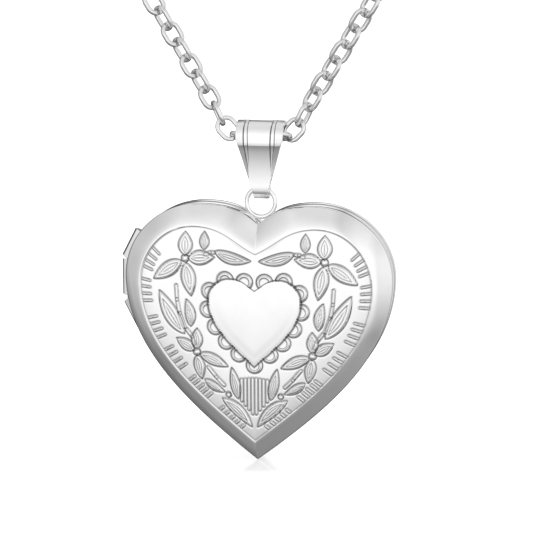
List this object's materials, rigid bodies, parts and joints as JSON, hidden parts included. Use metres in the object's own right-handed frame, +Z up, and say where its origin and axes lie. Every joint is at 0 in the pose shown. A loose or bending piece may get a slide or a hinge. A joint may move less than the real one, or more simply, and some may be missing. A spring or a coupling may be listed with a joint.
{
  "type": "heart locket",
  "caption": "Embossed heart locket with a side hinge, snap rim, photo frames, folded bail and a cable chain that ends in a clasp and a ring.",
  "frame": {"origin": "midway between the two held ends of the chain, at the wires of the end rings", "axes": "+Z up, +X across the heart to the wearer's left as the front is seen, -Y out of the embossed front"},
  "size_m": [0.0365, 0.0077, 0.064],
  "materials": {
    "polished_steel": "polished, silver tone",
    "chain_steel": "polished round wire",
    "satin_steel": "satin",
    "clear_film": "clear film"
  },
  "bodies": {
    "held_ends": {"clasp_body": "polished_steel", "clasp_pin": "satin_steel", "clasp_ring": "chain_steel", "end_ring": "chain_steel"},
    "lever": {"clasp_lever": "polished_steel"},
    "chain": {"chain_link_centre": "chain_steel", "chain_link_left_01": "chain_steel", "chain_link_left_02": "chain_steel", "chain_link_left_03": "chain_steel", "chain_link_left_04": "chain_steel", "chain_link_left_05": "chain_steel", "chain_link_left_06": "chain_steel", "chain_link_left_07": "chain_steel", "chain_link_left_08": "chain_steel", "chain_link_left_09": "chain_steel", "chain_link_left_10": "chain_steel", "chain_link_left_11": "chain_steel", "chain_link_right_01": "chain_steel", "chain_link_right_02": "chain_steel", "chain_link_right_03": "chain_steel", "chain_link_right_04": "chain_steel", "chain_link_right_05": "chain_steel", "chain_link_right_06": "chain_steel", "chain_link_right_07": "chain_steel", "chain_link_right_08": "chain_steel", "chain_link_right_09": "chain_steel", "chain_link_right_10": "chain_steel", "chain_link_right_11": "chain_steel"},
    "bail": {"bail": "polished_steel"},
    "back_half": {"back_cover": "polished_steel", "hinge_lug_upper": "polished_steel", "hinge_lug_lower": "polished_steel", "hinge_pin": "satin_steel", "snap_rim": "satin_steel", "back_photo_frame": "satin_steel", "back_window": "clear_film", "hanging_loop": "polished_steel"},
    "front_half": {"front_cover": "polished_steel", "hinge_knuckle": "polished_steel", "front_photo_frame": "satin_steel", "front_window": "clear_film"}
  },
  "joints": [
    {"name": "clasp_lever_pivot", "type": "hinge", "parent": "held_ends", "child": "lever", "pos_m": [-0.01736, 0.00067, 0.00481], "axis": [0.6048, 0.7071, 0.3663], "range_deg": [0, 18], "stiffness_Nm_per_rad": 0.002, "springref_deg": -11.46},
    {"name": "chain_swing", "type": "hinge", "parent": "held_ends", "child": "chain", "pos_m": [0, 0, 0], "axis": [1, 0, 0], "range_deg": [-30, 30]},
    {"name": "bail_swing", "type": "hinge", "parent": "chain", "child": "bail", "pos_m": [0, 0, -0.01725], "axis": [1, 0, 0], "range_deg": [-45, 45]},
    {"name": "locket_swing", "type": "hinge", "parent": "bail", "child": "back_half", "pos_m": [0, 0, -0.02303], "axis": [1, 0, 0], "range_deg": [-60, 60]},
    {"name": "cover_open", "type": "hinge", "parent": "back_half", "child": "front_half", "pos_m": [-0.0154, -0.0004, -0.0334], "axis": [0, 0, -1], "range_deg": [0, 140]}
  ]
}
